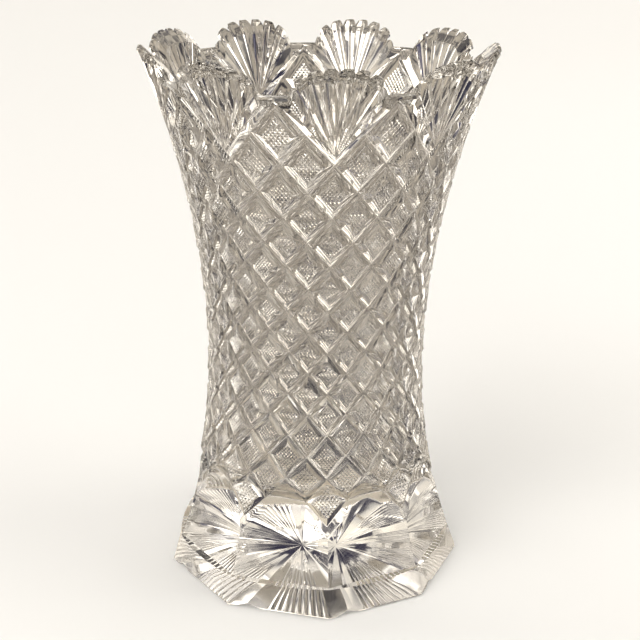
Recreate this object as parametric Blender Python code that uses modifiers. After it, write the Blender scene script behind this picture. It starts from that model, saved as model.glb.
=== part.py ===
"""Cut-glass flower vase: a corset body with nine-fold cutting, made from one piece of glass.

The body is a faceted blank.  Its net is laid out on the crossings of two families of helical mitre
cuts, and every diamond of the net is raised from the mitres with a flat top.  Below the net the
section is a plain nonagon that flares to the foot; above it the rim is scalloped into lobes.
The inside is a turned cavity, and the fans under the rim and the star under the foot are cut with
wedges, as a wheel cuts them.  Dimensions are in millimetres, the mesh is in metres, +Z up.
"""
import math

import bmesh
import bpy
from mathutils import Matrix, Vector

MM = 0.001
NAME = "glass_vase"

# ---- overall ----------------------------------------------------------------------------------
SECTORS = 9                    # lobes of the rim, panels of the body, corners of the foot
SECTOR_DEG = 360.0 / SECTORS
HEIGHT = 254.0                 # top of a rim lobe
WAIST_Z = 108.0                # height of the narrowest section
WAIST_R = 52.1
MOUTH_R = 81.4                 # nominal outer radius at full height
MOUTH_POWER = 1.9              # how late the mouth flares
FOOT_R = 73.1                  # radius to the corners of the foot
FOOT_POWER = 2.13              # how late the foot flares

# ---- diamond net ------------------------------------------------------------------------------
COLS = 4 * SECTORS             # crossings lie where column + level is even
COL_DEG = 360.0 / COLS
NET_FOOT_Z = 40.7              # level 0, the lowest crossings
LEVEL_PITCH = 0.1915           # rise per level as a share of the radius: constant mitre angle
FAN_LEVEL = 16                 # level of the fan tips
MITRE_HALF_LOW = 2.2           # half the width of a mitre cut at the foot of the net
MITRE_HALF_HIGH = 3.6          # and at the fan tips, where the wheel went deeper
MITRE_SLOPE = 0.85             # depth over half width

# ---- rim --------------------------------------------------------------------------------------
NOTCH_Z = 242.6                # edge between two lobes
LOBE_HALF_DEG = 15.2
LOBE_POWER = 2.6
LOBE_POINTS = 13               # points on one lobe's outline
RIM_BEVEL_Z = 4.6              # height of the sloping outer edge of the rim
RIM_BEVEL_R = 2.6
RIM_FALL = 33.0                # the rim's top slopes inwards, towards a point this far down
GAP_DIP = 1.8                  # the mitres run out through the notches at this depth
GROUND_MID_COLS = 0.86         # edge of a fan's ground beside its mitres, in columns from its middle
GROUND_TOP_COLS = 1.70
FAN_GROOVES = 7
FAN_SPREAD_DEG = 33.0          # outermost groove of a fan, from upright
FAN_GROOVE_DEPTH = 4.2         # at the rim, enough to notch the lobe's outline
FAN_FLATNESS = 0.78            # half width of a groove as a share of its depth
FAN_START = 4.0                # distance of a groove's point from the tip of its fan

# ---- inside -----------------------------------------------------------------------------------
WALL_RIM = 6.4
WALL_BODY = 8.2
CAVITY_STEPS = 54
CAVITY_ROWS = 9
FLOOR_Z = 46.0                 # inside bottom
FLOOR_CORNER = 12.0
CORNER_ROWS = 4

# ---- plain panels, foot and star ---------------------------------------------------------------
PANEL_FOOT_Z = 14.0            # ring where the panels end and the skirt of the foot begins
FOOT_EDGE_Z = 3.2              # widest line of the foot
FOOT_UNDERCUT = 1.6            # below it the edge draws in to the face the vase stands on
LEDGE_DROP = 0.8               # the ledge where the panels stop, below their foot
LEDGE_FLAT = 0.35              # how nine-sided the ledge is: 0 is round
FINE_RAYS = 9                  # of the star, between two of its broad rays
RAY_TURN_DEG = 7.5             # the broad ray from the corner of the foot
BROAD_HALF_DEG = 7.6
BROAD_START = 4.0              # radius where the broad rays fade out
BROAD_FLATNESS = 0.32          # depth of a ray as a share of its half width
FINE_SHARE = 0.84              # width of a fine ray as a share of its place: the rest stays flat
FINE_START = 20.0
FINE_FLATNESS = 0.6
RAY_DROP = 0.1                 # the wedges' widest line lies this far below the standing face
CUT_REACH = 8.0                # the cutting wedges run on past the edge of the glass


def outer_radius(z):
    """Nominal outer radius at a height: two power curves that meet at the waist."""
    if z >= WAIST_Z:
        t = (z - WAIST_Z) / (HEIGHT - WAIST_Z)
        return WAIST_R + (MOUTH_R - WAIST_R) * t ** MOUTH_POWER
    t = (WAIST_Z - z) / WAIST_Z
    return WAIST_R + (FOOT_R - WAIST_R) * t ** FOOT_POWER


def inner_radius(z):
    """Radius of the smooth inner wall above the rounded corner of its floor."""
    t = max(0.0, z - WAIST_Z) / (HEIGHT - WAIST_Z)
    return outer_radius(z) - WALL_BODY - (WALL_RIM - WALL_BODY) * t


def level_heights():
    """Heights of the net's levels: each level rises in proportion to the radius there."""
    heights = [NET_FOOT_Z]
    for _ in range(FAN_LEVEL + 2):
        z = heights[-1]
        middle = z + 0.5 * LEVEL_PITCH * outer_radius(z)
        heights.append(z + LEVEL_PITCH * outer_radius(middle))
    return heights


LEVELS = level_heights()
FAN_TIP_Z = LEVELS[FAN_LEVEL] + 1.2 * MITRE_HALF_HIGH
PANEL_ROWS = (0.0, 0.4, 0.75, 1.0)      # shares of the way from the net down to the skirt


def mitre_half(z):
    """Half the width of the mitre cuts at a height."""
    t = (z - LEVELS[0]) / (LEVELS[FAN_LEVEL] - LEVELS[0])
    return MITRE_HALF_LOW + (MITRE_HALF_HIGH - MITRE_HALF_LOW) * t


def mitre_depth(z):
    return MITRE_SLOPE * mitre_half(z)


def polar(r, deg, z):
    """Point in metres; 0 degrees is the front, -Y, and angles run towards +X."""
    a = math.radians(deg)
    return Vector((r * math.sin(a), -r * math.cos(a), z)) * MM


def step_from_fan(col):
    """Distance in columns from the nearest fan column: 0, 1 or 2."""
    return abs((col + 2) % 4 - 2)


def panel_share(deg):
    """Radius share of the nine-sided section: 1 at the corners, less on the flats."""
    half = 0.5 * SECTOR_DEG
    offset = deg % SECTOR_DEG - half
    return math.cos(math.radians(half)) / math.cos(math.radians(offset))


def rim_height(offset_deg):
    """Height of the rim at an angle from the middle of a lobe."""
    share = min(1.0, abs(offset_deg) / LOBE_HALF_DEG)
    return NOTCH_Z + (HEIGHT - NOTCH_Z) * math.sqrt(1.0 - share ** LOBE_POWER)


class Blank:
    """A mesh whose vertices are found by name, so that neighbouring faces share them."""

    def __init__(self):
        self.bm = bmesh.new()
        self.named = {}

    def vert(self, name, r, deg, z):
        if name not in self.named:
            self.named[name] = self.bm.verts.new(polar(r, deg, z))
        return self.named[name]

    def face(self, *verts):
        return self.bm.faces.new(verts)

    def crossing(self, col, level):
        """A crossing of two mitres, at the bottom of the cuts."""
        col %= COLS
        z = LEVELS[level]
        return self.vert(("crossing", col, level), outer_radius(z) - mitre_depth(z), COL_DEG * col, z)


def add_net(blank):
    """The diamonds, raised from the mitres level by level."""
    by_level = {}
    for col in range(COLS):
        step = step_from_fan(col)
        for level in range(step + 1, FAN_LEVEL + step, 2):
            diamond = blank.face(
                blank.crossing(col + 1, level), blank.crossing(col, level + 1),
                blank.crossing(col - 1, level), blank.crossing(col, level - 1))
            by_level.setdefault(level, []).append(diamond)
    blank.bm.normal_update()
    for level, diamonds in by_level.items():
        z = LEVELS[level]
        bmesh.ops.inset_individual(
            blank.bm, faces=diamonds, thickness=mitre_half(z) * MM, depth=mitre_depth(z) * MM,
            use_even_offset=True)


def add_lobe(blank, sector):
    """The plain ground of one fan, from the mitres below it up to the lobe's outline."""
    middle = SECTOR_DEG * sector
    col = 4 * sector
    mid_z = LEVELS[FAN_LEVEL + 1] + 0.5 * MITRE_HALF_HIGH
    top_z = LEVELS[FAN_LEVEL + 2]
    edge_z = NOTCH_Z - RIM_BEVEL_Z
    tip = blank.vert(("tip", sector), outer_radius(FAN_TIP_Z), middle, FAN_TIP_Z)
    outline = []
    for i in range(LOBE_POINTS):
        offset = LOBE_HALF_DEG * (2.0 * i / (LOBE_POINTS - 1) - 1.0)
        z = rim_height(offset) - RIM_BEVEL_Z
        outline.append(blank.vert(("edge", sector, i), outer_radius(z), middle + offset, z))
    for first, second in zip(outline, outline[1:]):
        blank.face(tip, second, first)
    for side, last in ((1, outline[-1]), (-1, outline[0])):
        ground_mid = blank.vert(("mid", sector, side), outer_radius(mid_z),
                                middle + side * GROUND_MID_COLS * COL_DEG, mid_z)
        ground_top = blank.vert(("top", sector, side), outer_radius(edge_z - 1.0),
                                middle + side * GROUND_TOP_COLS * COL_DEG, edge_z - 1.0)
        gap_name = ("gap", (sector + (side > 0)) % SECTORS)
        gap = blank.vert(gap_name, outer_radius(NOTCH_Z) - GAP_DIP, middle + side * 2.0 * COL_DEG,
                         0.5 * (NOTCH_Z + top_z))
        low = blank.crossing(col, FAN_LEVEL)
        mid = blank.crossing(col + side, FAN_LEVEL + 1)
        top = blank.crossing(col + 2 * side, FAN_LEVEL + 2)
        for loop in ((low, mid, ground_mid, tip), (mid, top, ground_top, ground_mid),
                     (tip, ground_mid, last), (ground_mid, ground_top, last),
                     (ground_top, top, gap)):
            blank.face(*loop[::side])
    return outline


def add_rim(blank):
    """The sloping edge of the rim and the top, which the cavity opens later."""
    ring = []
    for sector in range(SECTORS):
        outline = add_lobe(blank, sector)
        middle = SECTOR_DEG * sector
        before = blank.named[("gap", sector)]
        ring.append((before, middle - 2.0 * COL_DEG, NOTCH_Z))
        ring.append((blank.named[("top", sector, -1)], middle - GROUND_TOP_COLS * COL_DEG, NOTCH_Z))
        for i, vert in enumerate(outline):
            offset = LOBE_HALF_DEG * (2.0 * i / (LOBE_POINTS - 1) - 1.0)
            ring.append((vert, middle + offset, rim_height(offset)))
        ring.append((blank.named[("top", sector, 1)], middle + GROUND_TOP_COLS * COL_DEG, NOTCH_Z))
    crest = []
    for i, (_, deg, z) in enumerate(ring):
        crest.append(blank.vert(("crest", i), outer_radius(z) - RIM_BEVEL_R, deg, z))
    apex = blank.vert(("apex",), 0.0, 0.0, HEIGHT - RIM_FALL)
    for i in range(len(ring)):
        j = (i + 1) % len(ring)
        blank.face(ring[i][0], ring[j][0], crest[j], crest[i])
        blank.face(crest[i], crest[j], apex)


def add_panels_and_foot(blank):
    """The plain nine-sided part below the net, the ledge, the skirt and the standing face."""
    below_net = 1.5 * MITRE_HALF_LOW
    first = NET_FOOT_Z - below_net
    rows = []                  # height, inset, share of the nine-sided form
    for share in PANEL_ROWS:
        rows.append((first + (PANEL_FOOT_Z - first) * share, 0.0, 1.0))
    rows.append((PANEL_FOOT_Z - LEDGE_DROP, 0.0, LEDGE_FLAT))
    rows.append((0.5 * (PANEL_FOOT_Z + FOOT_EDGE_Z), 0.0, 0.5 * (1.0 + LEDGE_FLAT)))
    rows.append((FOOT_EDGE_Z, 0.0, 1.0))
    rows.append((0.0, FOOT_UNDERCUT, 1.0))
    rings = []
    for row, (z, inset, flat) in enumerate(rows):
        ring = []
        for col in range(COLS):
            here = z
            if row == 0:
                here = LEVELS[step_from_fan(col)] - below_net
            deg = COL_DEG * col
            share = 1.0 + flat * (panel_share(deg) - 1.0)
            ring.append(blank.vert(("row", row, col), (outer_radius(here) - inset) * share,
                                   deg, here))
        rings.append(ring)
    for col in range(COLS):
        after = (col + 1) % COLS
        blank.face(blank.crossing(col, step_from_fan(col)), rings[0][col], rings[0][after],
                   blank.crossing(after, step_from_fan(after)))
        for upper, lower in zip(rings, rings[1:]):
            blank.face(upper[col], lower[col], lower[after], upper[after])
    blank.face(*rings[-1])


def make_object(name, bm, collection):
    mesh = bpy.data.meshes.new(name)
    bm.to_mesh(mesh)
    bm.free()
    obj = bpy.data.objects.new(name, mesh)
    collection.objects.link(obj)
    return obj


def hide_cutter(obj):
    obj.hide_render = True
    obj.display_type = "WIRE"


def cavity_cutter(collection):
    """Turned inside of the vase: a profile from the axis above the rim down to the floor."""
    corner_z = FLOOR_Z + FLOOR_CORNER
    corner_r = inner_radius(corner_z)
    top = HEIGHT + CUT_REACH
    profile = [(0.0, top)]
    for row in range(CAVITY_ROWS):
        z = top + (corner_z - top) * row / (CAVITY_ROWS - 1)
        profile.append((inner_radius(z), z))
    for row in range(1, CORNER_ROWS + 1):
        turn = 0.5 * math.pi * row / CORNER_ROWS
        profile.append((corner_r - FLOOR_CORNER * (1.0 - math.cos(turn)),
                        corner_z - FLOOR_CORNER * math.sin(turn)))
    profile.append((0.0, FLOOR_Z))
    bm = bmesh.new()
    verts = [bm.verts.new((r * MM, 0.0, z * MM)) for r, z in profile]
    for first, second in zip(verts, verts[1:]):
        bm.edges.new((first, second))
    obj = make_object("cavity_cutter", bm, collection)
    screw = obj.modifiers.new("turn", "SCREW")
    screw.steps = CAVITY_STEPS
    screw.render_steps = CAVITY_STEPS
    screw.use_merge_vertices = True
    screw.merge_threshold = 0.0001
    hide_cutter(obj)
    return obj


def add_wedge(bm, start, end, half_width, depth, outward):
    """A four-sided cone from its point to its end, one edge towards the glass."""
    axis = (end - start).normalized()
    side = outward.cross(axis).normalized()
    up = axis.cross(side)
    frame = Matrix((side * half_width, up * depth, axis)).transposed().to_4x4()
    frame.translation = 0.5 * (start + end)
    bmesh.ops.create_cone(bm, cap_ends=True, segments=4, radius1=0.0, radius2=1.0,
                          depth=(end - start).length, matrix=frame)


def fan_cutter(collection):
    """The grooves of all fans, deepest where they leave through the rim."""
    bm = bmesh.new()
    end_z = HEIGHT + CUT_REACH
    reach = end_z - FAN_TIP_Z
    tip_r = outer_radius(FAN_TIP_Z)
    end_r = tip_r + (outer_radius(HEIGHT) - tip_r) * reach / (HEIGHT - FAN_TIP_Z)
    spacing = 2.0 * FAN_SPREAD_DEG / (FAN_GROOVES - 1)
    for sector in range(SECTORS):
        middle = SECTOR_DEG * sector
        tip = polar(tip_r, middle, FAN_TIP_Z)
        for groove in range(FAN_GROOVES):
            slope = math.radians(spacing * groove - FAN_SPREAD_DEG)
            # the far end lies on the round surface, not on the flat through the fan's tip
            turn = math.degrees(reach * math.tan(slope) / end_r)
            end = polar(end_r, middle + turn, end_z)
            start = tip + (end - tip).normalized() * FAN_START * MM
            depth = FAN_GROOVE_DEPTH * (end - start).length / (HEIGHT - FAN_TIP_Z)
            add_wedge(bm, start, end, depth * FAN_FLATNESS, depth, polar(1.0, middle + turn, 0.0))
    obj = make_object("fan_cutter", bm, collection)
    hide_cutter(obj)
    return obj


def star_rays():
    """Direction and half width in degrees, start radius and flatness of every ray of the star."""
    rays = []
    place = (SECTOR_DEG - 2.0 * BROAD_HALF_DEG) / FINE_RAYS
    for sector in range(SECTORS):
        broad = SECTOR_DEG * sector + RAY_TURN_DEG
        rays.append((broad, BROAD_HALF_DEG, BROAD_START, BROAD_FLATNESS))
        for i in range(FINE_RAYS):
            rays.append((broad + BROAD_HALF_DEG + (i + 0.5) * place, 0.5 * FINE_SHARE * place,
                         FINE_START, FINE_FLATNESS))
    return rays


def star_cutter(collection):
    """Broad rays from near the centre and fine rays further out, with flat lands between them."""
    bm = bmesh.new()
    end_r = FOOT_R + CUT_REACH
    for deg, half_deg, start_r, flatness in star_rays():
        half_width = (end_r - start_r) * math.tan(math.radians(half_deg))
        add_wedge(bm, polar(start_r, deg, -RAY_DROP), polar(end_r, deg, -RAY_DROP),
                  half_width * MM, half_width * flatness * MM, Vector((0.0, 0.0, 1.0)))
    obj = make_object("star_cutter", bm, collection)
    hide_cutter(obj)
    return obj


def glass_material():
    material = bpy.data.materials.new("clear_lead_glass")
    material.use_nodes = True
    shader = material.node_tree.nodes["Principled BSDF"]
    shader.inputs["Base Color"].default_value = (0.93, 0.94, 0.92, 1.0)
    shader.inputs["Roughness"].default_value = 0.03
    shader.inputs["Metallic"].default_value = 0.0
    shader.inputs["IOR"].default_value = 1.54
    shader.inputs["Transmission Weight"].default_value = 0.9
    return material


def build_vase(parts, cutters):
    blank = Blank()
    add_net(blank)
    add_rim(blank)
    add_panels_and_foot(blank)
    bmesh.ops.recalc_face_normals(blank.bm, faces=blank.bm.faces)
    bmesh.ops.triangulate(blank.bm, faces=blank.bm.faces)
    vase = make_object(NAME, blank.bm, parts)
    vase.data.materials.append(glass_material())
    for cutter in (cavity_cutter(cutters), fan_cutter(cutters), star_cutter(cutters)):
        cut = vase.modifiers.new(cutter.name, "BOOLEAN")
        cut.operation = "DIFFERENCE"
        cut.solver = "EXACT"
        cut.object = cutter


def main():
    for obj in list(bpy.data.objects):
        bpy.data.objects.remove(obj, do_unlink=True)
    parts = bpy.data.collections.new("flower_vase")
    cutters = bpy.data.collections.new("cutters")
    bpy.context.scene.collection.children.link(parts)
    bpy.context.scene.collection.children.link(cutters)
    build_vase(parts, cutters)


main()
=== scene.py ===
"""Cut-glass flower vase: the finely cut surface, glass material, studio and camera.

The whole vase is one piece of clear glass, so there is one piece here, which stands for the CAD
node.  It is made the way such a vase is cut: a blank with a net of mitre cuts, fans under the rim,
plain flat panels, a star under the foot, and fine crossed cuts on the flat top of every diamond.
The vase is measured in millimetres and degrees.  The camera and studio are in metres and degrees.
"""
import math
import random

import bmesh
import bpy
from mathutils import Matrix, Vector


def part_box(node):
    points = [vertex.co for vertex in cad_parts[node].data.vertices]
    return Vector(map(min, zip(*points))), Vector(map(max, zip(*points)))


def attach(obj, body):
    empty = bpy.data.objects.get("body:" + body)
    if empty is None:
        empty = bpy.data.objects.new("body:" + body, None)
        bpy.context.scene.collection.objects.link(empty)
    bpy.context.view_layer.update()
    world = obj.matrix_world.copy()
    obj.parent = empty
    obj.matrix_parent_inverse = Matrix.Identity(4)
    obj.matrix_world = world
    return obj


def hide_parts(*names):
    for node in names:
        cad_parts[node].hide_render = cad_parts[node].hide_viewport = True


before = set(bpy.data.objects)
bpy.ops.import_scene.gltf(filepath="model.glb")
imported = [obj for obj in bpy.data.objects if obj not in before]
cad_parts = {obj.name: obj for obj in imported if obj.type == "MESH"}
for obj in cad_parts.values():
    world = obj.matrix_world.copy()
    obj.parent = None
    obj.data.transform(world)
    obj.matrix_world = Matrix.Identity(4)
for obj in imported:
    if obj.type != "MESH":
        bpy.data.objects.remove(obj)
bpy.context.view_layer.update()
CAD_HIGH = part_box("glass_vase")[1]

MM = 0.001
HEIGHT = CAD_HIGH[2] / MM      # top of a rim lobe, from the frame
WOBBLE_SEED = 11

# ---- the cut body ------------------------------------------------------------------------------
SECTORS = 9                    # fans, panels and corners round the vase
SECTOR_DEG = 360.0 / SECTORS
WAIST_Z = 0.425 * HEIGHT
WAIST_R = 52.1
MOUTH_R = 81.4
MOUTH_POWER = 1.9              # how late the profile flares towards the mouth
FOOT_R = 73.1
FOOT_POWER = 2.13              # and towards the foot
COLS = 4 * SECTORS             # mitres cross where column + level is even
COL_DEG = 360.0 / COLS
NET_FOOT_Z = 40.7              # level 0, the lowest crossings
LEVEL_PITCH = 0.1915           # height of a level over the radius there
FAN_LEVEL = 16                 # level of the fan tips
MITRE_HALF_LOW = 2.2           # half the width of a mitre cut at the foot of the net
MITRE_HALF_HIGH = 3.6          # and at the fan tips, where the wheel went deeper
MITRE_SLOPE = 0.85             # depth over half width
MITRE_ROUND = 0.35             # the wheel's edge leaves the bottom of a cut this round
MITRE_ROUND_SEGMENTS = 2
HAND_WOBBLE = 0.16             # a cutter working by eye: crossings stray by this much

# ---- fine crossed cuts on the diamonds ----------------------------------------------------------
FINE_CUTS = 7                  # small pyramids along one side of a diamond
FINE_HEIGHT = 0.5
FINE_SINK = 0.6                # share of their height by which they start below the diamond's top

# ---- material slots of the one mesh -------------------------------------------------------------
PLAIN_SLOT = 0
FINE_CUT_SLOT = 1
STAR_SLOT = 2
SLOT_COUNT = 3

# ---- rim ----------------------------------------------------------------------------------------
NOTCH_Z = HEIGHT - 11.4        # crest of the rim between two lobes
LOBE_HALF_DEG = 15.2
LOBE_POWER = 2.6               # 2 is an ellipse, more is squarer
LOBE_POINTS = 33
RIM_WALL = 6.4
RIM_ROUND = (                  # rounded section of the rim: share of the wall, drop below the crest
    (0.05, 2.5), (0.11, 1.0), (0.19, 0.2), (0.28, 0.0), (0.42, 0.45), (0.60, 1.5), (0.85, 3.3))
RIM_EDGE_Z = 4.8               # the outside runs plain up to this far below the crest
RIM_FALL = 60.0                # depth of the cone that closes the blank
GAP_DIP = 1.8                  # the glass between two fans lies this far in
GROUND_MID_COLS = 0.86         # edge of a fan's ground beside its mitres, columns from its middle
GROUND_TOP_COLS = 1.70
GROUND_TOP_DROP = 1.0
FAN_TIP_RISE = 1.2             # above the crossing, in half widths of its mitres
FAN_GROOVES = 7
FAN_SPREAD_DEG = 33.0          # lean of the outermost grooves
FAN_GROOVE_DEPTH = 4.2         # at the crest of a lobe
FAN_FLATNESS = 0.78            # half width over depth
FAN_START = 4.0                # the grooves begin this far from the tip

# ---- inside -------------------------------------------------------------------------------------
WALL_BODY = 8.2
CAVITY_STEPS = 144             # facets round the turned inside
CAVITY_ROWS = 44
FLOOR_Z = 46.0
FLOOR_CORNER = 12.0
CORNER_ROWS = 9

# ---- panels, foot and star ----------------------------------------------------------------------
PANEL_TOP_DROP = 1.5           # below the lowest crossings, in half widths of their mitres
PANEL_FOOT_Z = 14.0
PANEL_ROW_COUNT = 10
FOOT_EDGE_Z = 3.2              # widest line of the foot
FOOT_UNDERCUT = 1.6
FOOT_CHAMFER_Z = 0.3 * FOOT_EDGE_Z
FOOT_CHAMFER = 0.25 * FOOT_UNDERCUT
LEDGE_DROP = 0.8               # the ledge where the panels stop, below their foot
LEDGE_FLAT = 0.35              # how nine-sided it is: 0 is round
LAND_R = 62.0                  # inner edge of the flat ring that it stands on
UNDER_RISE = 4.5               # the underside is a shallow cone, so high in the middle
FINE_RAYS = 9                  # between two broad rays
RAY_TURN_DEG = 7.5
BROAD_HALF_DEG = 7.8
BROAD_START = 1.5
BROAD_FLATNESS = 0.32          # depth over half width
FINE_START = 9.0
FINE_FLATNESS = 0.6
RAY_DROP = 0.1                 # the middle of every ray runs this far below the cone
CUT_REACH = 8.0                # cutters end this far outside the glass

# ---- camera -------------------------------------------------------------------------------------
CAMERA_TURN_DEG = -6.15        # from the middle of the front lobe
CAMERA_DISTANCE = 0.5786       # from the axis
CAMERA_HEIGHT = 0.3331
CAMERA_DOWN_DEG = 20.12
CAMERA_PAN_DEG = -0.20
CAMERA_ROLL_DEG = 0.69
CAMERA_LENS_MM = 71.96
CAMERA_SENSOR_MM = 36.0

# ---- studio -------------------------------------------------------------------------------------
# The camera sees a pale floor and backdrop.  Rays by way of the glass see the darker studio below.
# For those rays the floor's darker tone is painted shade, with painted light under the foot.
FLOOR_RADIUS = 6.0
FLOOR_SEGMENTS = 96
FLOOR_GAP = 0.0004
FLOOR_COLOUR = (0.84, 0.865, 0.90)
FLOOR_MOTTLE = 0.97            # darkest share of that colour
FLOOR_MOTTLE_SCALE = 3.0
FLOOR_ROUGHNESS = 0.7
FLOOR_SPECULAR = 0.2
# painted shade: the floor's colour for rays by way of the glass, darker than the camera sees it
PAINTED_FLOOR_SHADE = (0.27, 0.256, 0.236)
PAINTED_FLOOR_LIGHT = (0.65, 0.62, 0.57)    # painted pool of light under the foot, where glass throws its light
PAINTED_LIGHT_RADIUS = 0.075
PAINTED_LIGHT_EDGE = 0.03
BACKDROP = (0.93, 0.925, 0.915)
ROOM = (                       # sine of the elevation, colour
    (0.0, (1.56, 1.47, 1.32)),
    (0.22, (1.62, 1.52, 1.37)),
    (0.38, (0.74, 0.70, 0.63)),
    (0.75, (0.68, 0.64, 0.58)),
    (0.95, (1.00, 0.94, 0.85)),
)
DARK_CARD = (0.03, 0.03, 0.055)
STUDIO_PATCHES = (             # azimuth, elevation, radius and soft edge in degrees, colour
    (-50.0, 45.0, 19.0, 5.0, (3.0, 2.8, 2.5)),
    (75.0, 35.0, 17.0, 5.0, (2.8, 2.65, 2.35)),
    (-120.0, 16.0, 12.0, 4.0, (2.6, 2.45, 2.2)),
    (150.0, 14.0, 12.0, 4.0, (2.6, 2.45, 2.2)),
    (-20.0, 20.0, 13.0, 4.0, (2.4, 2.25, 2.0)),
    (-150.0, 6.0, 12.0, 4.0, DARK_CARD),
    (50.0, 8.0, 15.0, 5.0, DARK_CARD),
    (115.0, 10.0, 13.0, 4.0, DARK_CARD),
    (-85.0, 10.0, 13.0, 4.0, DARK_CARD),
)
ROOM_CLUTTER = 3.5             # size of the shapes in the room: more is finer
FLOOR_CLUTTER = 14.0
CLUTTER_DETAIL = 2.0
CLUTTER_STOPS = (              # value of the noise, what it multiplies the colour by
    (0.45, (0.05, 0.05, 0.10)),
    (0.48, (1.0, 1.0, 1.0)),
    (0.66, (1.6, 1.55, 1.45)),
)
LAMPS = (                      # name, place, size, power in watts, colour
    ("key", (-1.0, -0.9, 1.5), 0.7, 4.0, (1.0, 0.97, 0.92)),
    ("fill", (1.2, 0.7, 1.2), 0.8, 2.0, (1.0, 0.96, 0.9)),
)
GLASS_BOUNCES = 24
GLOSSY_BOUNCES = 8

# ---- glass --------------------------------------------------------------------------------------
GLASS_TINT = (0.962, 0.953, 0.938)
GLASS_IOR = 1.54
POLISHED = 0.0
STAR_ROUGHNESS = 0.08          # the star is left duller from the wheel
HAZE = 0.02                    # fine scratches and film add up to this much roughness
HAZE_SCALE = 60.0
HAZE_DETAIL = 4.0
HAZE_FROM = 0.35               # the noise at which the haze begins
HAZE_FULL = 0.75
SHARP_DEG = 34.0               # facets that meet at more than this keep a sharp edge
FACET_WEIGHT = 100             # large facets shade flat up to their edges

random.seed(WOBBLE_SEED)


def outer_radius(z):
    """Profile of the uncut outside."""
    if z >= WAIST_Z:
        t = (z - WAIST_Z) / (HEIGHT - WAIST_Z)
        return WAIST_R + (MOUTH_R - WAIST_R) * t ** MOUTH_POWER
    t = (WAIST_Z - z) / WAIST_Z
    return WAIST_R + (FOOT_R - WAIST_R) * t ** FOOT_POWER


def inner_radius(z):
    """The inside follows the outside; its wall thins from the waist to the rim."""
    t = max(0.0, z - WAIST_Z) / (HEIGHT - WAIST_Z)
    return outer_radius(z) - WALL_BODY - (RIM_WALL - WALL_BODY) * t


def level_heights():
    """Height of every level of crossings; a level is as tall as its place is wide."""
    heights = [NET_FOOT_Z]
    for _ in range(FAN_LEVEL + 2):
        z = heights[-1]
        middle = z + 0.5 * LEVEL_PITCH * outer_radius(z)
        heights.append(z + LEVEL_PITCH * outer_radius(middle))
    return heights


def mitre_half(z):
    """Half the width of a mitre cut."""
    t = (z - LEVELS[0]) / (LEVELS[FAN_LEVEL] - LEVELS[0])
    return MITRE_HALF_LOW + (MITRE_HALF_HIGH - MITRE_HALF_LOW) * t


def net_radius(z):
    """Radius at the bottom of the mitre cuts."""
    return outer_radius(z) - MITRE_SLOPE * mitre_half(z)


LEVELS = level_heights()
FAN_TIP_Z = LEVELS[FAN_LEVEL] + FAN_TIP_RISE * MITRE_HALF_HIGH


def polar(r, deg, z):
    """Point in metres; 0 degrees is the front, -Y, and angles run towards +X."""
    a = math.radians(deg)
    return Vector((r * math.sin(a), -r * math.cos(a), z)) * MM


def step_from_fan(col):
    """Columns to the nearest fan's middle: how far the zigzag ends of the net step up there."""
    return abs((col + 2) % 4 - 2)


def panel_share(deg):
    """Radius of the nine-sided form over its corner radius."""
    half = 0.5 * SECTOR_DEG
    offset = deg % SECTOR_DEG - half
    return math.cos(math.radians(half)) / math.cos(math.radians(offset))


def rim_height(offset_deg):
    """Crest of a lobe, by the angle from its middle."""
    share = min(1.0, abs(offset_deg) / LOBE_HALF_DEG)
    return NOTCH_Z + (HEIGHT - NOTCH_Z) * math.sqrt(1.0 - share ** LOBE_POWER)


class Blank:
    """A mesh whose vertices are found by name, so that neighbouring faces share them."""

    def __init__(self):
        self.bm = bmesh.new()
        self.named = {}

    def vert(self, name, r, deg, z):
        if name not in self.named:
            self.named[name] = self.bm.verts.new(polar(r, deg, z))
        return self.named[name]

    def face(self, *verts):
        return self.bm.faces.new(verts)

    def crossing(self, col, level):
        """A crossing of two mitres, at the bottom of the cuts."""
        col %= COLS
        name = ("crossing", col, level)
        if name not in self.named:
            z = LEVELS[level]
            stray = [random.uniform(-HAND_WOBBLE, HAND_WOBBLE) for _ in range(3)]
            r = net_radius(z) + stray[0]
            turn = math.degrees(stray[1] / r)
            self.vert(name, r, COL_DEG * col + turn, z + stray[2])
        return self.named[name]


def add_net(blank):
    """The diamonds, raised from the mitres; their tops get the slot for the fine cuts."""
    by_level = {}
    for col in range(COLS):
        step = step_from_fan(col)
        for level in range(step + 1, FAN_LEVEL + step, 2):
            diamond = blank.face(
                blank.crossing(col + 1, level), blank.crossing(col, level + 1),
                blank.crossing(col - 1, level), blank.crossing(col, level - 1))
            by_level.setdefault(level, []).append(diamond)
    blank.bm.normal_update()
    for level, diamonds in by_level.items():
        half = mitre_half(LEVELS[level])
        bmesh.ops.inset_individual(
            blank.bm, faces=diamonds, thickness=half * MM,
            depth=(MITRE_SLOPE * half - FINE_SINK * FINE_HEIGHT) * MM, use_even_offset=True)
        for face in diamonds:
            face.material_index = FINE_CUT_SLOT


def round_mitres(blank):
    """Round the bottom of every mitre cut."""
    crossings = {vert for name, vert in blank.named.items() if name[0] == "crossing"}
    edges = [e for e in blank.bm.edges if crossings.issuperset(e.verts)]
    bmesh.ops.bevel(blank.bm, geom=edges, offset=MITRE_ROUND * MM, offset_type="OFFSET",
                    segments=MITRE_ROUND_SEGMENTS, profile=0.5, affect="EDGES",
                    clamp_overlap=True)


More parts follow.
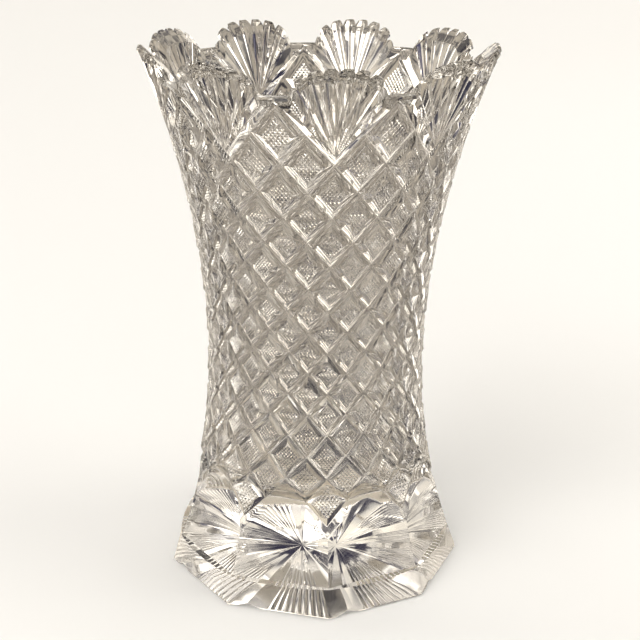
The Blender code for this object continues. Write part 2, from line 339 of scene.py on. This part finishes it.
def add_lobe(blank, sector):
    """The plain ground of one fan, from the mitres below it up to the lobe's outline."""
    middle = SECTOR_DEG * sector
    col = 4 * sector
    mid_z = LEVELS[FAN_LEVEL + 1] + 0.5 * MITRE_HALF_HIGH
    top_z = LEVELS[FAN_LEVEL + 2]
    ground_top_z = NOTCH_Z - RIM_EDGE_Z - GROUND_TOP_DROP
    tip = blank.vert(("tip", sector), outer_radius(FAN_TIP_Z), middle, FAN_TIP_Z)
    outline = []
    for i in range(LOBE_POINTS):
        offset = LOBE_HALF_DEG * (2.0 * i / (LOBE_POINTS - 1) - 1.0)
        z = rim_height(offset) - RIM_EDGE_Z
        outline.append(blank.vert(("edge", sector, i), outer_radius(z), middle + offset, z))
    for first, second in zip(outline, outline[1:]):
        blank.face(tip, second, first)
    for side, last in ((1, outline[-1]), (-1, outline[0])):
        ground_mid = blank.vert(("mid", sector, side), outer_radius(mid_z),
                                middle + side * GROUND_MID_COLS * COL_DEG, mid_z)
        ground_top = blank.vert(("top", sector, side), outer_radius(ground_top_z),
                                middle + side * GROUND_TOP_COLS * COL_DEG, ground_top_z)
        gap_name = ("gap", (sector + (side > 0)) % SECTORS)
        gap = blank.vert(gap_name, outer_radius(NOTCH_Z) - GAP_DIP,
                         middle + side * 2.0 * COL_DEG, 0.5 * (NOTCH_Z + top_z))
        low = blank.crossing(col, FAN_LEVEL)
        mid = blank.crossing(col + side, FAN_LEVEL + 1)
        top = blank.crossing(col + 2 * side, FAN_LEVEL + 2)
        for loop in ((low, mid, ground_mid, tip), (mid, top, ground_top, ground_mid),
                     (tip, ground_mid, last), (ground_mid, ground_top, last),
                     (ground_top, top, gap)):
            blank.face(*loop[::side])
    return outline


def add_rim(blank):
    """The rounded rim, closed by a shallow cone that the cavity opens later."""
    ring = []
    for sector in range(SECTORS):
        outline = add_lobe(blank, sector)
        middle = SECTOR_DEG * sector
        ring.append((blank.named[("gap", sector)], middle - 2.0 * COL_DEG, NOTCH_Z))
        ring.append((blank.named[("top", sector, -1)], middle - GROUND_TOP_COLS * COL_DEG, NOTCH_Z))
        for i, vert in enumerate(outline):
            offset = LOBE_HALF_DEG * (2.0 * i / (LOBE_POINTS - 1) - 1.0)
            ring.append((vert, middle + offset, rim_height(offset)))
        ring.append((blank.named[("top", sector, 1)], middle + GROUND_TOP_COLS * COL_DEG, NOTCH_Z))
    rows = [[vert for vert, _, _ in ring]]
    for row, (share, drop) in enumerate(RIM_ROUND):
        rows.append([blank.vert(("rim", row, i), outer_radius(z) - share * RIM_WALL, deg, z - drop)
                     for i, (_, deg, z) in enumerate(ring)])
    apex = blank.vert(("apex",), 0.0, 0.0, HEIGHT - RIM_FALL)
    for i in range(len(ring)):
        j = (i + 1) % len(ring)
        for lower, upper in zip(rows, rows[1:]):
            blank.face(lower[i], lower[j], upper[j], upper[i])
        blank.face(rows[-1][i], rows[-1][j], apex)


def underside(r):
    """Height of the hollow cone under the foot."""
    return UNDER_RISE * (1.0 - r / LAND_R)


def foot_rows(top):
    """Height, inset and share of the nine-sided form of each row, from the net to the table."""
    rows = []
    for i in range(PANEL_ROW_COUNT):
        rows.append((top + (PANEL_FOOT_Z - top) * i / (PANEL_ROW_COUNT - 1), 0.0, 1.0))
    rows.append((PANEL_FOOT_Z - LEDGE_DROP, 0.0, LEDGE_FLAT))
    rows.append((0.5 * (PANEL_FOOT_Z + FOOT_EDGE_Z), 0.0, 0.5 * (1.0 + LEDGE_FLAT)))
    rows.append((FOOT_EDGE_Z, 0.0, 1.0))
    rows.append((FOOT_CHAMFER_Z, FOOT_CHAMFER, 1.0))
    rows.append((0.0, FOOT_UNDERCUT, 1.0))
    return rows


def add_panels_and_foot(blank):
    """Nine plain panels below the net, the ledge and skirt below them, and the underside."""
    top = NET_FOOT_Z - PANEL_TOP_DROP * MITRE_HALF_LOW
    rings = []
    for row, (z, inset, flat) in enumerate(foot_rows(top)):
        ring = []
        for col in range(COLS):
            here = z
            if z > PANEL_FOOT_Z:
                # the panels' rows follow the zigzag of the net and level out at the skirt
                lift = (z - PANEL_FOOT_Z) / (top - PANEL_FOOT_Z)
                here = z + lift * (LEVELS[step_from_fan(col)] - LEVELS[0])
            deg = COL_DEG * col
            share = 1.0 + flat * (panel_share(deg) - 1.0)
            ring.append(blank.vert(("row", row, col), (outer_radius(here) - inset) * share,
                                   deg, here))
        rings.append(ring)
    rings.append([blank.vert(("land", col), LAND_R, COL_DEG * col, 0.0) for col in range(COLS)])
    middle = blank.vert(("middle",), 0.0, 0.0, UNDER_RISE)
    for col in range(COLS):
        after = (col + 1) % COLS
        blank.face(blank.crossing(col, step_from_fan(col)), rings[0][col], rings[0][after],
                   blank.crossing(after, step_from_fan(after)))
        for upper, lower in zip(rings, rings[1:]):
            blank.face(upper[col], lower[col], lower[after], upper[after])
        blank.face(rings[-1][col], middle, rings[-1][after])


def make_object(name, bm):
    """An object of the finished mesh, linked to the scene."""
    mesh = bpy.data.meshes.new(name)
    bm.to_mesh(mesh)
    bm.free()
    obj = bpy.data.objects.new(name, mesh)
    bpy.context.scene.collection.objects.link(obj)
    return obj


def give_slots(mesh):
    """Empty material slots, so that the Boolean cuts keep the faces' slot numbers."""
    for _ in range(SLOT_COUNT):
        mesh.materials.append(None)


def cavity_profile():
    """Radius and height from the middle of the top, down the wall, to the middle of the floor."""
    corner_z = FLOOR_Z + FLOOR_CORNER
    corner_r = inner_radius(corner_z)
    top = HEIGHT + CUT_REACH
    profile = [(0.0, top)]
    for row in range(CAVITY_ROWS):
        z = top + (corner_z - top) * row / (CAVITY_ROWS - 1)
        profile.append((inner_radius(z), z))
    for row in range(1, CORNER_ROWS + 1):
        turn = 0.5 * math.pi * row / CORNER_ROWS
        profile.append((corner_r - FLOOR_CORNER * (1.0 - math.cos(turn)),
                        corner_z - FLOOR_CORNER * math.sin(turn)))
    profile.append((0.0, FLOOR_Z))
    return profile


def cavity_cutter():
    """The smooth turned inside, with a rounded corner at its floor."""
    bm = bmesh.new()
    verts = [bm.verts.new((r * MM, 0.0, z * MM)) for r, z in cavity_profile()]
    for first, second in zip(verts, verts[1:]):
        bm.edges.new((first, second))
    obj = make_object("cavity_profile", bm)
    screw = obj.modifiers.new("turn", "SCREW")
    screw.steps = CAVITY_STEPS
    screw.render_steps = CAVITY_STEPS
    screw.use_merge_vertices = True
    screw.merge_threshold = 0.1 * MM
    turned = bpy.data.meshes.new_from_object(
        obj.evaluated_get(bpy.context.evaluated_depsgraph_get()))
    bpy.data.objects.remove(obj, do_unlink=True)
    cutter = bpy.data.objects.new("cavity_cutter", turned)
    bpy.context.scene.collection.objects.link(cutter)
    return cutter


def add_wedge(bm, start, end, half_width, depth, outward):
    """A four-sided cone from its point to its end, one edge towards the glass."""
    axis = (end - start).normalized()
    side = outward.cross(axis).normalized()
    up = axis.cross(side)
    place = Matrix((side * half_width, up * depth, axis)).transposed().to_4x4()
    place.translation = 0.5 * (start + end)
    bmesh.ops.create_cone(bm, cap_ends=True, segments=4, radius1=0.0, radius2=1.0,
                          depth=(end - start).length, matrix=place)


def fan_cutter(first):
    """Every other groove of each fan: neighbours touch, and a cutter may not cross itself."""
    bm = bmesh.new()
    end_z = HEIGHT + CUT_REACH
    reach = end_z - FAN_TIP_Z
    tip_r = outer_radius(FAN_TIP_Z)
    end_r = tip_r + (outer_radius(HEIGHT) - tip_r) * reach / (HEIGHT - FAN_TIP_Z)
    spacing = 2.0 * FAN_SPREAD_DEG / (FAN_GROOVES - 1)
    for sector in range(SECTORS):
        middle = SECTOR_DEG * sector
        tip = polar(tip_r, middle, FAN_TIP_Z)
        for groove in range(first, FAN_GROOVES, 2):
            slope = math.radians(spacing * groove - FAN_SPREAD_DEG)
            turn = math.degrees(reach * math.tan(slope) / end_r)
            end = polar(end_r, middle + turn, end_z)
            start = tip + (end - tip).normalized() * FAN_START * MM
            depth = FAN_GROOVE_DEPTH * (end - start).length / (HEIGHT - FAN_TIP_Z)
            add_wedge(bm, start, end, depth * FAN_FLATNESS, depth, polar(1.0, middle + turn, 0.0))
    return make_object("fan_cutter_%d" % first, bm)


def star_rays():
    """Direction, half width in degrees, start radius and flatness of every ray of the star."""
    rays = []
    fine_pitch = (SECTOR_DEG - 2.0 * BROAD_HALF_DEG) / FINE_RAYS
    for sector in range(SECTORS):
        broad = SECTOR_DEG * sector + RAY_TURN_DEG
        rays.append((broad, BROAD_HALF_DEG, BROAD_START, BROAD_FLATNESS))
        for i in range(FINE_RAYS):
            rays.append((broad + BROAD_HALF_DEG + (i + 0.5) * fine_pitch, 0.5 * fine_pitch,
                         FINE_START, FINE_FLATNESS))
    return rays


def star_cutter(first):
    """Every other ray of the star, because these touch their neighbours too."""
    bm = bmesh.new()
    end_r = FOOT_R + CUT_REACH
    for deg, half_deg, start_r, flatness in star_rays()[first::2]:
        half_width = end_r * math.tan(math.radians(half_deg))
        add_wedge(bm, polar(start_r, deg, underside(start_r) - RAY_DROP),
                  polar(end_r, deg, underside(end_r) - RAY_DROP),
                  half_width * MM, half_width * flatness * MM, Vector((0.0, 0.0, 1.0)))
    for face in bm.faces:
        face.material_index = STAR_SLOT
    cutter = make_object("star_cutter_%d" % first, bm)
    give_slots(cutter.data)
    return cutter


def cut(blank_obj, cutters):
    """Apply the Boolean cuts and return the cut mesh."""
    for cutter in cutters:
        step = blank_obj.modifiers.new(cutter.name, "BOOLEAN")
        step.operation = "DIFFERENCE"
        step.solver = "EXACT"
        step.material_mode = "INDEX"
        step.object = cutter
    depsgraph = bpy.context.evaluated_depsgraph_get()
    mesh = bpy.data.meshes.new_from_object(blank_obj.evaluated_get(depsgraph))
    for obj in [blank_obj] + cutters:
        bpy.data.objects.remove(obj, do_unlink=True)
    return mesh


def add_fine_cuts(mesh):
    """Crossed cuts on every diamond's flat top: a grid of small pyramids."""
    bm = bmesh.new()
    bm.from_mesh(mesh)
    tops = [f for f in bm.faces if f.material_index == FINE_CUT_SLOT and len(f.verts) == 4]
    edges = list({e for f in tops for e in f.edges})
    bmesh.ops.subdivide_edges(bm, edges=edges, cuts=FINE_CUTS - 1, use_grid_fill=True)
    small = [f for f in bm.faces if f.material_index == FINE_CUT_SLOT and len(f.verts) == 4]
    bmesh.ops.poke(bm, faces=small, offset=FINE_HEIGHT * MM, center_mode="MEAN")
    bm.to_mesh(mesh)
    bm.free()


def mix_colours(nodes, links, factor, first, second):
    """A mix node's output; each of the two may be a plain colour or another node's output."""
    mix = nodes.new("ShaderNodeMix")
    mix.data_type = "RGBA"
    for socket, colour in ((mix.inputs[6], first), (mix.inputs[7], second)):
        if isinstance(colour, tuple):
            socket.default_value = (*colour, 1.0)
        else:
            links.new(colour, socket)
    links.new(factor, mix.inputs["Factor"])
    return mix.outputs[2]


def colour_ramp(nodes, links, value, stops):
    """A colour for every value, from a list of places and colours."""
    ramp = nodes.new("ShaderNodeValToRGB")
    ends = ramp.color_ramp.elements
    for end, (place, colour) in zip(ends, (stops[0], stops[-1])):
        end.position = place
        end.color = (*colour, 1.0)
    for place, colour in stops[1:-1]:
        ends.new(place).color = (*colour, 1.0)
    links.new(value, ramp.inputs["Fac"])
    return ramp.outputs["Color"]


def smooth_step(nodes, links, value, start, end):
    """0 below the start, 1 above the end, and soft between."""
    step = nodes.new("ShaderNodeMapRange")
    step.interpolation_type = "SMOOTHSTEP"
    step.inputs["From Min"].default_value = start
    step.inputs["From Max"].default_value = end
    links.new(value, step.inputs["Value"])
    return step.outputs["Result"]


def glass_material(name, roughness):
    """Clear lead glass; fine scratches and film vary its roughness a little."""
    material = bpy.data.materials.new(name)
    material.use_nodes = True
    nodes = material.node_tree.nodes
    links = material.node_tree.links
    shader = nodes["Principled BSDF"]
    shader.inputs["Base Color"].default_value = (*GLASS_TINT, 1.0)
    shader.inputs["IOR"].default_value = GLASS_IOR
    shader.inputs["Transmission Weight"].default_value = 1.0
    coords = nodes.new("ShaderNodeTexCoord")
    noise = nodes.new("ShaderNodeTexNoise")
    noise.inputs["Scale"].default_value = HAZE_SCALE
    noise.inputs["Detail"].default_value = HAZE_DETAIL
    spread = nodes.new("ShaderNodeMapRange")
    spread.inputs["From Min"].default_value = HAZE_FROM
    spread.inputs["From Max"].default_value = HAZE_FULL
    spread.inputs["To Min"].default_value = roughness
    spread.inputs["To Max"].default_value = roughness + HAZE
    links.new(coords.outputs["Object"], noise.inputs["Vector"])
    links.new(noise.outputs["Fac"], spread.inputs["Value"])
    links.new(spread.outputs["Result"], shader.inputs["Roughness"])
    return material


def vase_mesh():
    """The blank with every cut made, and its materials."""
    blank = Blank()
    add_net(blank)
    add_rim(blank)
    add_panels_and_foot(blank)
    round_mitres(blank)
    bmesh.ops.recalc_face_normals(blank.bm, faces=blank.bm.faces)
    blank_obj = make_object("blank", blank.bm)
    give_slots(blank_obj.data)
    mesh = cut(blank_obj, [cavity_cutter(), fan_cutter(0), fan_cutter(1),
                           star_cutter(0), star_cutter(1)])
    add_fine_cuts(mesh)
    mesh.materials[PLAIN_SLOT] = glass_material("cut_glass", POLISHED)
    mesh.materials[FINE_CUT_SLOT] = glass_material("fine_cut_glass", POLISHED)
    mesh.materials[STAR_SLOT] = glass_material("star_cut_glass", STAR_ROUGHNESS)
    mesh.shade_smooth()
    mesh.set_sharp_from_angle(angle=math.radians(SHARP_DEG))
    return mesh


def build_vase():
    """The one piece, which stands for the CAD node."""
    vase = bpy.data.objects.new("cut_glass_body", vase_mesh())
    bpy.context.scene.collection.objects.link(vase)
    weighted = vase.modifiers.new("flat_facets", "WEIGHTED_NORMAL")
    weighted.keep_sharp = True
    weighted.weight = FACET_WEIGHT
    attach(vase, "root")
    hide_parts("glass_vase")


def add_clutter(nodes, links, vector, scale, colour):
    """Multiply a colour by soft dark and light shapes, as a room looks when seen in cut glass."""
    noise = nodes.new("ShaderNodeTexNoise")
    noise.inputs["Scale"].default_value = scale
    noise.inputs["Detail"].default_value = CLUTTER_DETAIL
    links.new(vector, noise.inputs["Vector"])
    mix = nodes.new("ShaderNodeMix")
    mix.data_type = "RGBA"
    mix.blend_type = "MULTIPLY"
    mix.inputs["Factor"].default_value = 1.0
    links.new(colour, mix.inputs[6])
    links.new(colour_ramp(nodes, links, noise.outputs["Fac"], CLUTTER_STOPS), mix.inputs[7])
    return mix.outputs[2]


def floor_by_glass(nodes, links):
    """The floor as the glass sees it: painted light under the foot, and dimmer, painted shade, and
    cluttered further out.
    """
    place = nodes.new("ShaderNodeTexCoord").outputs["Object"]
    distance = nodes.new("ShaderNodeVectorMath")
    distance.operation = "LENGTH"
    links.new(place, distance.inputs[0])
    # painted light under the foot, fading into painted shade further out
    outside = smooth_step(nodes, links, distance.outputs["Value"],
                          PAINTED_LIGHT_RADIUS, PAINTED_LIGHT_RADIUS + PAINTED_LIGHT_EDGE)
    colour = mix_colours(nodes, links, outside, PAINTED_FLOOR_LIGHT, PAINTED_FLOOR_SHADE)
    return add_clutter(nodes, links, place, FLOOR_CLUTTER, colour)


def floor_by_camera(nodes, links):
    """The floor as the camera sees it: pale and slightly mottled."""
    noise = nodes.new("ShaderNodeTexNoise")
    noise.inputs["Scale"].default_value = FLOOR_MOTTLE_SCALE
    darkest = tuple(FLOOR_MOTTLE * v for v in FLOOR_COLOUR)
    return colour_ramp(nodes, links, noise.outputs["Fac"], ((0.0, darkest), (1.0, FLOOR_COLOUR)))


def floor_material():
    """One look for the camera, and another for rays by way of the glass, with painted shade and
    painted light.
    """
    material = bpy.data.materials.new("pale_floor")
    material.use_nodes = True
    nodes = material.node_tree.nodes
    links = material.node_tree.links
    shader = nodes["Principled BSDF"]
    shader.inputs["Roughness"].default_value = FLOOR_ROUGHNESS
    shader.inputs["Specular IOR Level"].default_value = FLOOR_SPECULAR
    path = nodes.new("ShaderNodeLightPath")
    colour = mix_colours(nodes, links, path.outputs["Is Camera Ray"],
                         floor_by_glass(nodes, links), floor_by_camera(nodes, links))
    links.new(colour, shader.inputs["Base Color"])
    return material


def build_stage():
    """A pale floor just under the foot."""
    bm = bmesh.new()
    bmesh.ops.create_circle(bm, cap_ends=True, segments=FLOOR_SEGMENTS, radius=FLOOR_RADIUS)
    floor = make_object("floor", bm)
    floor.location.z = -FLOOR_GAP
    floor.data.materials.append(floor_material())


def direction(azimuth, elevation):
    """Unit vector; azimuth 0 is the front, -Y, and runs towards +X."""
    a = math.radians(azimuth)
    e = math.radians(elevation)
    return (math.cos(e) * math.sin(a), -math.cos(e) * math.cos(a), math.sin(e))


def build_world():
    """A studio, brightest low down, with bright screens and dark cards hung round the vase."""
    world = bpy.data.worlds.new("studio")
    bpy.context.scene.world = world
    world.use_nodes = True
    nodes = world.node_tree.nodes
    links = world.node_tree.links
    towards = nodes.new("ShaderNodeTexCoord").outputs["Generated"]
    split = nodes.new("ShaderNodeSeparateXYZ")
    links.new(towards, split.inputs["Vector"])
    colour = colour_ramp(nodes, links, split.outputs["Z"], ROOM)
    colour = add_clutter(nodes, links, towards, ROOM_CLUTTER, colour)
    for azimuth, elevation, radius, edge, patch_colour in STUDIO_PATCHES:
        dot = nodes.new("ShaderNodeVectorMath")
        dot.operation = "DOT_PRODUCT"
        dot.inputs[1].default_value = direction(azimuth, elevation)
        links.new(towards, dot.inputs[0])
        mask = smooth_step(nodes, links, dot.outputs["Value"],
                           math.cos(math.radians(radius + edge)), math.cos(math.radians(radius)))
        colour = mix_colours(nodes, links, mask, colour, patch_colour)
    path = nodes.new("ShaderNodeLightPath")
    colour = mix_colours(nodes, links, path.outputs["Is Camera Ray"], colour, BACKDROP)
    links.new(colour, nodes["Background"].inputs["Color"])


def build_lamp(name, place, size, power, colour):
    """A round soft lamp that points at the middle of the vase."""
    data = bpy.data.lights.new(name, "AREA")
    data.shape = "DISK"
    data.size = size
    data.energy = power
    data.color = colour
    lamp = bpy.data.objects.new(name, data)
    lamp.location = place
    aim = Vector((0.0, 0.0, 0.5 * HEIGHT * MM)) - lamp.location
    lamp.rotation_euler = aim.to_track_quat("-Z", "Y").to_euler()
    bpy.context.scene.collection.objects.link(lamp)


def build_camera():
    """A camera that stands a little left of the front and looks down at the vase."""
    data = bpy.data.cameras.new("camera")
    data.lens = CAMERA_LENS_MM
    data.sensor_width = CAMERA_SENSOR_MM
    camera = bpy.data.objects.new("camera", data)
    turn = math.radians(CAMERA_TURN_DEG)
    camera.location = (CAMERA_DISTANCE * math.sin(turn), -CAMERA_DISTANCE * math.cos(turn),
                       CAMERA_HEIGHT)
    aim = Matrix.Rotation(turn + math.radians(CAMERA_PAN_DEG), 4, "Z")
    aim @= Matrix.Rotation(math.radians(90.0 - CAMERA_DOWN_DEG), 4, "X")
    aim @= Matrix.Rotation(math.radians(CAMERA_ROLL_DEG), 4, "Z")
    camera.rotation_euler = aim.to_euler()
    bpy.context.scene.collection.objects.link(camera)
    bpy.context.scene.camera = camera


build_vase()
build_stage()
build_world()
for lamp_values in LAMPS:
    build_lamp(*lamp_values)
build_camera()
scene = bpy.context.scene
scene.view_settings.view_transform = "Standard"
scene.cycles.max_bounces = GLASS_BOUNCES
scene.cycles.transmission_bounces = GLASS_BOUNCES
scene.cycles.glossy_bounces = GLOSSY_BOUNCES
